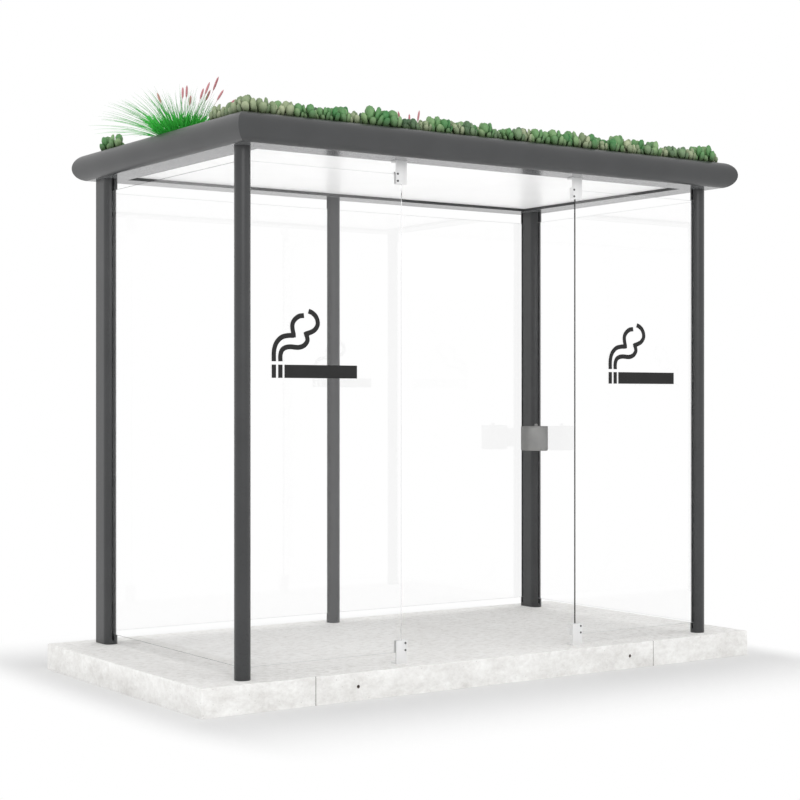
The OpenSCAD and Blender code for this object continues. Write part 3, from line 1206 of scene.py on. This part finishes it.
@dataclass(frozen=True)
class Whorl:
    """One ring of leaves in a rosette.

    Attributes:
        name: Name of the ring, which its inputs start with.
        leaves: Number of leaves.
        radius: From the rosette's middle to the feet of the leaves.
        height: Height of the feet.
        lean: Least and most lean of a leaf, in degrees.
        size: Least and most size of a leaf, as shares of its full size.
        shade_step: Step of the tone from one leaf to the next, as a share of its range.
        seed_step: From the seed of the leans to the seed of the sizes.
    """

    name: str
    leaves: int
    radius: float
    height: float
    lean: Pair
    size: Pair
    shade_step: float = 0.618
    seed_step: int = 50

    def inputs(self, seed: int) -> dict[str, float]:
        """Give the ring's sizes as values of named inputs.

        Args:
            seed: Fixed seed of the leans.

        Returns:
            A value for each input, by its name.
        """
        values = {"leaves": self.leaves, "radius": self.radius, "height": self.height}
        values["least lean"], values["most lean"] = map(math.radians, self.lean)
        values["least size"], values["most size"] = self.size
        values |= {"lean seed": seed, "size seed": seed + self.seed_step}
        return {f"{self.name} {label}": value for label, value in values.items()}

    def grow(self, made: Recipe, leaf: Socket) -> Socket:
        """Add the ring to a tree.

        Args:
            made: The tree, which gets the ring's named inputs.
            leaf: One leaf.

        Returns:
            The ring of leaves.
        """
        tree = made.tree
        whole = ("leaves", "lean seed", "size seed")
        parts = ("radius", "height", "least lean", "most lean", "least size", "most size")
        given = {label: made.entry(f"{self.name} {label}", "NodeSocketInt") for label in whole}
        given |= {label: made.entry(f"{self.name} {label}") for label in parts}
        drawn = {}
        for label in ("lean", "size"):
            drawn[label] = add_node(tree, "FunctionNodeRandomValue", {
                2: given[f"least {label}"], 3: given[f"most {label}"], "Seed": given[f"{label} seed"],
            }).outputs[1]

        ring = add_node(tree, "GeometryNodeMeshCircle", {
            "Vertices": given["leaves"], "Radius": given["radius"],
        })
        index = add_node(tree, "GeometryNodeInputIndex")
        step = add_node(tree, "ShaderNodeMath", {
            "operation": "MULTIPLY", 0: index.outputs["Index"], 1: self.shade_step,
        })
        shade = add_node(tree, "ShaderNodeMath", {"operation": "FRACT", 0: step.outputs["Value"]})
        shaded = add_node(tree, "GeometryNodeStoreNamedAttribute", {
            "data_type": "FLOAT",
            "domain": "POINT",
            "Geometry": ring.outputs["Mesh"],
            "Name": "shade",
            "Value": shade.outputs["Value"],
        })
        place = add_node(tree, "GeometryNodeInputPosition")
        axes = add_node(tree, "ShaderNodeSeparateXYZ", {"Vector": place.outputs["Position"]})
        turn = add_node(tree, "ShaderNodeMath", {
            "operation": "ARCTAN2", 0: axes.outputs["Y"], 1: axes.outputs["X"],
        })
        aim = add_node(tree, "ShaderNodeCombineXYZ", {"Y": drawn["lean"], "Z": turn.outputs["Value"]})
        grown = add_node(tree, "GeometryNodeInstanceOnPoints", {
            "Points": shaded.outputs["Geometry"],
            "Instance": leaf,
            "Rotation": aim.outputs["Vector"],
            "Scale": drawn["size"],
        })
        rise = add_node(tree, "ShaderNodeCombineXYZ", {"Z": given["height"]})
        lifted = add_node(tree, "GeometryNodeTransform", {
            "Geometry": grown.outputs["Instances"], "Translation": rise.outputs["Vector"],
        })
        return lifted.outputs["Geometry"]


@dataclass
class SedumBed:
    """The low planting: rosettes of fleshy leaves all over the roof.

    Attributes:
        spacing: Least distance between two rosettes.
        density: Number of rosettes tried on each square metre.
        leaf_l: Length of a leaf.
        leaf_w: Width of a leaf.
        leaf_t: Thickness of a leaf.
        cup: How far a leaf's sides bend in to the rosette's middle.
        bow: How far a leaf bends out on its way up; 0 is straight.
        leaf_sides: Faces round a leaf.
        leaf_rings: Rings along a leaf: share of its length, width and thickness.
        whorls: The rings of leaves in a rosette.
        whorl_seed: Fixed seed of the leaves of the first tone.
        draws: What varies from rosette to rosette: name, least, most and fixed seed. Turns are in
            radians.
        kind_seed: Fixed seed of each rosette's tone.
        margin: From the edge of the mat to the outermost rosettes.
        cell: Size of the bed's squares.
        bare: Middle and half widths of the places left free for the grass.
        strays: Single plants that stand in a bare place.
        stray_r: How near to a stray the bed is kept, as a share of a square.
        sage_r: How far the grey-green plants reach round the front left corner.
        green_r: How far the bright plants reach round the back left corner.
        seed: Fixed seed of the planting.
    """

    spacing: float = 0.054
    density: float = 4000.0
    leaf_l: float = 0.056
    leaf_w: float = 0.038
    leaf_t: float = 0.014
    cup: float = 0.008
    bow: float = 0.5
    leaf_sides: int = 6
    leaf_rings: tuple[Triple, ...] = ((0.36, 0.78, 1.0), (0.70, 1.0, 1.0), (0.92, 0.64, 0.66))
    whorls: tuple[Whorl, ...] = (
        Whorl("Outer", 5, 0.014, 0.0, (6.0, 30.0), (0.70, 1.04)),
        Whorl("Inner", 3, 0.008, 0.016, (0.0, 16.0), (0.80, 1.18)),
    )
    whorl_seed: int = 3
    draws: tuple = (
        ("tone", 0.0, 1.0, 22),
        ("tilt x", -0.18, 0.18, 23),
        ("tilt y", -0.18, 0.18, 24),
        ("turn", 0.0, 2 * math.pi, 25),
        ("size", 0.85, 1.3, 26),
    )
    kind_seed: int = 21
    margin: float = 0.02
    cell: float = 0.03
    bare: tuple = ((-1.36, -0.11, 0.42, 0.36), (-1.30, 0.52, 0.42, 0.60), (0.0, 0.0, 0.07, 0.07))
    strays: tuple[Pair, ...] = ((-1.40, 0.53), (-1.40, 0.65), (-1.26, 0.42))
    stray_r: float = 0.75
    sage_r: float = 0.24
    green_r: float = 0.45
    seed: int = 11

    def leaf(self) -> bpy.types.Object:
        """Make one cupped, round-ended leaf that grows up from the origin.

        Returns:
            An object with the leaf.
        """
        bm = bmesh.new()
        rings = []
        for t, wide, thick in self.leaf_rings:
            x, z = self.bow * self.leaf_l * t * (1 - t), self.leaf_l * t
            w, h = wide * self.leaf_w / 2, thick * self.leaf_t / 2
            around = circle(self.leaf_sides)
            rings.append([(x + h * c - wide * self.cup * s**2, w * s, z) for c, s in around])
        rows = bm_loft(bm, rings, capped=False)
        for row, end in ((rows[0], 0.0), (rows[-1], self.leaf_l)):
            tip = bm.verts.new((0.0, 0.0, end))
            for i in range(len(row)):
                bm.faces.new((tip, row[i - 1], row[i]))
        bmesh.ops.recalc_face_normals(bm, faces=bm.faces)
        return new_object("sedum_leaf", bm_mesh(bm, "sedum_leaf", LEAVES[LeafTone.BRIGHT]))

    def is_bare(self, place: Vector) -> bool:
        """Tell if a place is left free for the grass.

        Args:
            place: A place on the roof.

        Returns:
            True if no rosette grows there.
        """
        near = self.stray_r * self.cell
        if any((place.xy - Vector(stray)).length < near for stray in self.strays):
            return False
        return any(((place.x - x) / w) ** 2 + ((place.y - y) / d) ** 2 < 1 for x, y, w, d in self.bare)

    def bed(self) -> bpy.types.Mesh:
        """Make the plane that the rosettes grow on, with gaps for the grass.

        Returns:
            A mesh on top of the growing medium.
        """
        low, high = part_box("sedum_mat")
        counts = [int((high[k] - low[k] - 2 * self.margin) / self.cell) for k in (0, 1)]
        bm = bmesh.new()
        bmesh.ops.create_grid(bm, x_segments=counts[0], y_segments=counts[1], size=1.0)
        bmesh.ops.scale(bm, vec=(high.x - self.margin, high.y - self.margin, 1.0), verts=bm.verts)
        bmesh.ops.translate(bm, vec=(0, 0, low.z - ROOT_DEPTH), verts=bm.verts)
        bare = [face for face in bm.faces if self.is_bare(face.calc_center_median())]
        bmesh.ops.delete(bm, geom=bare, context="FACES")
        return bm_mesh(bm, "sedum_bed")

    def is_tone(self, made: Recipe) -> Socket:
        """Pick the rosettes of the tone that is planted.

        Args:
            made: The tree, which gets the tone and the two corners as named inputs.

        Returns:
            True for each rosette that has this tone.
        """
        tree = made.tree
        kinds = add_node(tree, "FunctionNodeRandomValue", {
            "data_type": "INT", 4: 0, 5: len(LeafTone) - 1, "Seed": self.kind_seed,
        }).outputs[2]
        place = add_node(tree, "GeometryNodeInputPosition")
        for label, reach, own in (
            ("Sage corner", self.sage_r, LeafTone.SAGE),
            ("Green corner", self.green_r, LeafTone.BRIGHT),
        ):
            away = add_node(tree, "ShaderNodeVectorMath", {
                "operation": "DISTANCE",
                0: place.outputs["Position"],
                1: made.entry(label, "NodeSocketVector"),
            })
            near = add_node(tree, "FunctionNodeCompare", {
                "data_type": "FLOAT", "operation": "LESS_THAN", 0: away.outputs["Value"], 1: reach,
            })
            kinds = add_node(tree, "GeometryNodeSwitch", {
                "input_type": "INT", "Switch": near.outputs["Result"], "False": kinds, "True": own.value,
            }).outputs["Output"]
        chosen = add_node(tree, "FunctionNodeCompare", {
            "data_type": "INT", "operation": "EQUAL", 2: kinds, 3: made.entry("Tone", "NodeSocketInt"),
        })
        return chosen.outputs["Result"]

    def recipe(self) -> Recipe:
        """Write the tree that plants one tone of rosettes.

        Returns:
            The tree.
        """
        made = Recipe("sedum_rosettes")
        tree = made.tree
        leaf = add_node(tree, "GeometryNodeObjectInfo", {"Object": made.entry("Leaf", "NodeSocketObject")})
        rosette = add_node(tree, "GeometryNodeJoinGeometry")
        for whorl in self.whorls:
            ring = whorl.grow(made, leaf.outputs["Geometry"])
            tree.links.new(ring, rosette.inputs["Geometry"])
        drawn = {}
        for label, least, most, seed in self.draws:
            drawn[label] = add_node(tree, "FunctionNodeRandomValue", {
                2: least, 3: most, "Seed": seed,
            }).outputs[1]

        spread = add_node(tree, "GeometryNodeDistributePointsOnFaces", {
            "distribute_method": "POISSON",
            "Mesh": made.start.outputs["Geometry"],
            "Distance Min": made.entry("Spacing"),
            "Density Max": self.density,
            "Seed": made.entry("Seed", "NodeSocketInt"),
        })
        named = add_node(tree, "GeometryNodeStoreNamedAttribute", {
            "data_type": "FLOAT",
            "domain": "POINT",
            "Geometry": spread.outputs["Points"],
            "Name": "tone",
            "Value": drawn["tone"],
        })
        tilt = add_node(tree, "ShaderNodeCombineXYZ", {
            "X": drawn["tilt x"], "Y": drawn["tilt y"], "Z": drawn["turn"],
        })
        plants = add_node(tree, "GeometryNodeInstanceOnPoints", {
            "Points": named.outputs["Geometry"],
            "Selection": self.is_tone(made),
            "Instance": rosette.outputs["Geometry"],
            "Rotation": tilt.outputs["Vector"],
            "Scale": drawn["size"],
        })
        made.end(plants.outputs["Instances"])
        return made

    def build(self) -> None:
        """Plant the three tones; the first stands for the mat."""
        recipe = self.recipe()
        leaf = self.leaf()
        low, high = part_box("sedum_mat")
        for tone in LeafTone:
            values = {
                "Leaf": leaf,
                "Sage corner": low,
                "Green corner": (low.x, high.y, low.z),
                "Spacing": self.spacing,
                "Tone": tone.value,
                "Seed": self.seed,
                "Material": LEAVES[tone].material(),
            }
            for whorl in self.whorls:
                values |= whorl.inputs(self.whorl_seed + tone.value)
            piece = recipe.make(f"sedum_{tone.name.lower()}", self.bed(), values)
            settle(piece, "sedum_mat" if tone is LeafTone.BRIGHT else None)
        bpy.data.objects.remove(leaf)


@dataclass(frozen=True)
class Stem:
    """The shape of one form of grass, for a length of 1.

    Attributes:
        out: How far out it ends.
        up: How high it ends.
        pieces: Pieces along it.
        sides: Faces round it.
        taper: Places along it, each with its share of the full width there.
        belly: Where it is drawn to on its way, as shares of how far out and how high it ends.
    """

    out: float
    up: float
    pieces: int
    sides: int
    taper: tuple[Pair, ...]
    belly: Pair = (0.1, 0.55)


BLADE_TAPER = ((0.0, 0.8), (0.35, 1.0), (0.7, 0.7), (1.0, 0.06))
SPIKE_TAPER = ((0.0, 0.14), (0.76, 0.14), (0.80, 0.7), (0.89, 1.0), (1.0, 0.15))
STEMS = {
    GrassForm.TUFT: Stem(0.20, 0.96, 7, 3, BLADE_TAPER),
    GrassForm.BLADES: Stem(0.26, 0.95, 7, 3, BLADE_TAPER),
    GrassForm.SPIKES: Stem(0.06, 1.0, 24, 7, SPIKE_TAPER),
}


@dataclass
class GrassClump:
    """A clump of thin grass with flower spikes.

    Attributes:
        name: Which of the two clumps.
        spike_tips: Place of each spike's tip: to the right of the clump's middle, and its height.
        lean: Lean of the outermost blades, in degrees.
        fan: How much more they lean to the open end of the roof, in degrees.
        counts: Number of short and of long blades.
        lengths: Shortest and longest of the short blades, and of the long ones.
        core_r: Radius that the blades start from.
        half_w: Half the width of a short blade, a long blade and a spike.
        seed: Fixed seed of the clump.
        right: The way to the right along the view.
        open_turn: The way that the fan opens, in radians.
        fan_share: Share of the long blades that grow in the fan.
        fan_half: Half the fan's opening, in radians.
        vary: Least and most share of its length that a blade grows to.
        twist: How far a blade turns to either side of the way it leans, in radians.
        spike_foot: Where a spike's foot stands on the way to its tip, as a share.
        spike_deep: How far a spike's foot and its tip stand nearer or further along the view.
    """

    name: str
    spike_tips: tuple[Pair, ...]
    lean: float = 40.0
    fan: float = 34.0
    counts: tuple[int, int] = (440, 210)
    lengths: tuple[Pair, Pair] = ((0.11, 0.16), (0.20, 0.35))
    core_r: float = 0.10
    half_w: Triple = (0.0024, 0.0011, 0.0055)
    seed: int = 5
    right: Pair = (0.824, -0.566)
    open_turn: float = math.radians(145)
    fan_share: float = 0.5
    fan_half: float = 2.0
    vary: Pair = (0.85, 1.15)
    twist: float = 0.5
    spike_foot: float = 0.35
    spike_deep: Pair = (0.04, 0.08)

    def blades(self, form: GrassForm) -> list[tuple[Vector, Triple]]:
        """Draw the places and turns of the blades.

        Args:
            form: The short or the long blades.

        Returns:
            For each blade its foot from the clump's middle, and its turn, lean and length.
        """
        draw = random.Random(f"{self.seed} {form.value}")
        is_long = form is GrassForm.BLADES
        shortest, longest = self.lengths[is_long]
        stems = []
        for _ in range(self.counts[is_long]):
            turn = self.open_turn + draw.uniform(-math.pi, math.pi)
            if is_long and draw.random() < self.fan_share:
                turn = self.open_turn + draw.triangular(-self.fan_half, self.fan_half, 0.0)
            share = draw.random()
            out = self.core_r * math.sqrt(share)
            foot = Vector((out * math.cos(turn), out * math.sin(turn), 0.0))
            most = self.lean
            if is_long:
                most += self.fan * math.cos(turn - self.open_turn)
            lean = share * most
            length = shortest + (longest - shortest) * lean / (self.lean + self.fan)
            length *= draw.uniform(*self.vary)
            turn += draw.uniform(-self.twist, self.twist)
            stems.append((foot, (turn, math.radians(lean), length)))
        return stems

    def spikes(self) -> list[tuple[Vector, Triple]]:
        """Work out the stems that end in the spikes' tips.

        Returns:
            For each stem its foot from the clump's middle, and its turn, lean and length.
        """
        draw = random.Random(f"{self.seed} spikes")
        x, y = self.right
        right, deep = Vector((x, y, 0.0)), Vector((-y, x, 0.0))
        near, far = self.spike_deep
        stem = STEMS[GrassForm.SPIKES]
        stems = []
        for across, height in self.spike_tips:
            foot = right * self.spike_foot * across + deep * draw.uniform(-near, near)
            tip = right * across + deep * draw.uniform(-far, far) + Vector((0, 0, height))
            way = tip - foot
            lean = math.atan2(way.xy.length, way.z) - math.atan2(stem.out, stem.up)
            length = way.length / math.hypot(stem.out, stem.up)
            stems.append((foot, (math.atan2(way.y, way.x), lean, length)))
        return stems

    def feet(self, form: GrassForm) -> bpy.types.Mesh:
        """Mark the foot of each stem of one form.

        Args:
            form: Short blades, long blades or spikes.

        Returns:
            A mesh of single points that carry turn, lean, length and tone.
        """
        low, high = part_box(f"grass_clump_{self.name}")
        ground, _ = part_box("sedum_mat")
        middle = Vector(((low.x + high.x) / 2, (low.y + high.y) / 2, ground.z - ROOT_DEPTH))
        stems = self.spikes() if form is GrassForm.SPIKES else self.blades(form)
        draw = random.Random(self.seed)
        values = {"tone": [draw.random() for _ in stems]}
        for i, label in enumerate(("turn", "lean", "length")):
            values[label] = [ways[i] for _, ways in stems]
        return point_mesh(f"grass_{self.name}_{form.value}", [middle + foot for foot, _ in stems], values)

    def recipe(self, form: GrassForm) -> Recipe:
        """Write the tree that grows a bent, tapered stem on each foot.

        Args:
            form: Short blades, long blades or spikes.

        Returns:
            The tree.
        """
        made = Recipe(f"grass_{form.value}")
        tree = made.tree
        stem = STEMS[form]
        own = {}
        for label in ("turn", "lean", "length"):
            own[label] = add_node(tree, "GeometryNodeInputNamedAttribute", {
                "data_type": "FLOAT", "Name": label,
            }).outputs["Attribute"]

        points = add_node(tree, "GeometryNodeMeshToPoints", {"Mesh": made.start.outputs["Geometry"]})
        line = add_node(tree, "GeometryNodeCurveQuadraticBezier", {
            "Resolution": stem.pieces,
            "Start": (0.0, 0.0, 0.0),
            "Middle": (stem.belly[0] * stem.out, 0.0, stem.belly[1] * stem.up),
            "End": (stem.out, 0.0, stem.up),
        })
        aim = add_node(tree, "ShaderNodeCombineXYZ", {"Y": own["lean"], "Z": own["turn"]})
        stems = add_node(tree, "GeometryNodeInstanceOnPoints", {
            "Points": points.outputs["Points"],
            "Instance": line.outputs["Curve"],
            "Rotation": aim.outputs["Vector"],
            "Scale": own["length"],
        })
        lines = add_node(tree, "GeometryNodeRealizeInstances", {"Geometry": stems.outputs["Instances"]})
        along = add_node(tree, "GeometryNodeSplineParameter")
        taper = add_node(tree, "ShaderNodeFloatCurve", {"Value": along.outputs["Factor"]})
        curve = taper.mapping.curves[0]
        while len(curve.points) < len(stem.taper):
            curve.points.new(0.5, 0.5)
        for point, stop in zip(curve.points, stem.taper):
            point.location = stop
        taper.mapping.update()
        ring = add_node(tree, "GeometryNodeCurvePrimitiveCircle", {
            "Resolution": stem.sides, "Radius": made.entry("Half width"),
        })
        tubes = add_node(tree, "GeometryNodeCurveToMesh", {
            "Curve": lines.outputs["Geometry"],
            "Profile Curve": ring.outputs["Curve"],
            "Scale": taper.outputs["Value"],
            "Fill Caps": True,
        })
        made.end(tubes.outputs["Mesh"])
        return made

    def build(self) -> None:
        """Grow the short blades, which stand for the clump's node, the long ones and the spikes."""
        for form, half_w in zip(GrassForm, self.half_w):
            feet = self.feet(form)
            values = {"Half width": half_w, "Material": GRASS[form].material()}
            piece = self.recipe(form).make(feet.name, feet, values)
            settle(piece, f"grass_clump_{self.name}" if form is GrassForm.TUFT else None)


@dataclass
class Studio:
    """White surround, pale floor, soft lamps and the camera.

    Attributes:
        lens_mm: Focal length of the camera.
        sensor_mm: Width of its sensor.
        eye: Place of the camera.
        yaw: How far the camera looks to the right of straight ahead, in degrees.
        sky: Strength of the surround's light.
        floor_r: Half the size of the floor.
        floor_gap: How far the floor lies under the plinth.
        fade: How far from the plinth the floor has turned white, along X and along Y.
        glow: Strength of the floor's own light on matte faces.
        aim: Where the lamps point.
        key_at: Place of the main lamp.
        key_size: Length of its sides.
        key_w: Its power in watts.
        accent_at: Place of the lamp that only the ash bin catches.
        accent_size: Length of its sides.
        accent_w: Its power in watts.
    """

    lens_mm: float = 77.12
    sensor_mm: float = 36.0
    eye: Triple = (-5.0813, -7.3102, 1.3624)
    yaw: float = 34.48
    sky: float = 0.95
    floor_r: float = 40.0
    floor_gap: float = 0.0002
    fade: Pair = (0.36, 1.1)
    glow: float = 1.28
    aim: Triple = (0.0, 0.0, 1.3)
    key_at: Triple = (-3.5, -7.5, 5.0)
    key_size: float = 5.0
    key_w: float = 130.0
    accent_at: Triple = (-2.9, -6.8, 2.0)
    accent_size: float = 2.0
    accent_w: float = 800.0

    def camera(self) -> None:
        """Set the camera where the picture was taken from."""
        data = bpy.data.cameras.new("camera")
        data.lens = self.lens_mm
        data.sensor_width = self.sensor_mm
        camera = new_object("camera", data)
        camera.location = self.eye
        camera.rotation_euler = (math.pi / 2, 0.0, -math.radians(self.yaw))
        bpy.context.scene.camera = camera

    def surround(self) -> None:
        """Make a surround that looks white and lights softly."""
        world = bpy.data.worlds.new("surround")
        world.use_nodes = True
        tree = world.node_tree
        tree.nodes.clear()
        white = hex_linear(WHITE)
        light = add_node(tree, "ShaderNodeBackground", {"Color": white, "Strength": self.sky})
        paper = add_node(tree, "ShaderNodeBackground", {"Color": white, "Strength": 1.0})
        mixed = add_node(tree, "ShaderNodeMixShader", {
            0: seen_rays(tree), 1: light.outputs["Background"], 2: paper.outputs["Background"],
        })
        add_node(tree, "ShaderNodeOutputWorld", {"Surface": mixed.outputs["Shader"]})
        bpy.context.scene.world = world

    def floor(self) -> None:
        """Lay the floor under the plinth."""
        low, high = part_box("plinth")
        paper = StudioFloor("studio_floor", (low + high) / 2, (high - low) / 2, self.fade, self.glow)
        bm = bmesh.new()
        bmesh.ops.create_grid(bm, x_segments=1, y_segments=1, size=self.floor_r)
        bmesh.ops.translate(bm, vec=(0, 0, low.z - self.floor_gap), verts=bm.verts)
        new_object("floor", bm_mesh(bm, "floor", paper))

    def lamp(self, name: str, place: Triple, size: float, power: float) -> bpy.types.Object:
        """Hang a soft square lamp that points at the shelter.

        Args:
            name: Name of the lamp.
            place: Where it hangs.
            size: Length of its sides.
            power: Its power in watts.

        Returns:
            The lamp.
        """
        data = bpy.data.lights.new(name, "AREA")
        data.shape = "SQUARE"
        data.size = size
        data.energy = power
        lamp = new_object(name, data)
        lamp.location = place
        way = Vector(self.aim) - lamp.location
        lamp.rotation_euler = way.to_track_quat("-Z", "Y").to_euler()
        return lamp

    def accent(self, pieces: list[bpy.types.Object]) -> None:
        """Hang a lamp in front that only a few pieces catch, so that their round shape shows.

        Args:
            pieces: The pieces.
        """
        lit = bpy.data.collections.new("accent_lit")
        for piece in pieces:
            lit.objects.link(piece)
        lamp = self.lamp("accent_lamp", self.accent_at, self.accent_size, self.accent_w)
        lamp.visible_camera = False
        lamp.visible_glossy = False
        lamp.light_linking.receiver_collection = lit

    def build(self) -> None:
        """Set up the camera, surround, floor and main lamp."""
        bpy.context.scene.view_settings.view_transform = "Standard"
        self.camera()
        self.surround()
        self.floor()
        self.lamp("key_lamp", self.key_at, self.key_size, self.key_w)


# Tips of the flower spikes: to the right of the clump's middle, and height over the soil.
LEFT_SPIKES = (
    (-0.130, 0.228),
    (0.020, 0.254),
    (0.006, 0.237),
    (0.032, 0.215),
    (0.090, 0.254),
    (0.128, 0.269),
    (0.136, 0.223),
    (0.178, 0.281),
    (0.190, 0.240),
    (0.240, 0.201),
)
MIDDLE_SPIKES = ((-0.084, 0.252), (-0.060, 0.262), (-0.002, 0.249), (0.051, 0.270))


def dress_nodes() -> None:
    """Give every CAD node that stays visible the finish of its family or slot."""
    for row in frame["record"]["subparts"]:
        node = frame["nodes"][row["node"]]
        if node.hide_render:
            continue
        family = row["node"].split("_")[0]
        finish = FAMILY_COAT.get(family) or SLOT_FINISH[row["material_slot"]]
        for slot in node.material_slots:
            slot.material = finish.material()
        LOG.info("%s: %s", node.name, finish.name)


def main() -> None:
    """Build the shelter's pieces in order."""
    logging.basicConfig(level=logging.INFO)
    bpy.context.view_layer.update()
    studio = Studio()
    studio.build()
    Plinth().build()
    Glazing().build()
    SmokeSign(Side.LEFT, left_x=-1.234, foot_z=1.461).build()
    SmokeSign(Side.RIGHT, left_x=0.751, foot_z=1.446).build()
    studio.accent(AshBin().build())
    Screws().build()
    SedumBed().build()
    GrassClump("left", LEFT_SPIKES).build()
    GrassClump(
        "middle",
        MIDDLE_SPIKES,
        lean=34.0,
        fan=0.0,
        counts=(160, 60),
        lengths=((0.08, 0.15), (0.12, 0.19)),
        core_r=0.06,
        seed=41,
    ).build()
    dress_nodes()


if __name__ == "__main__":
    main()
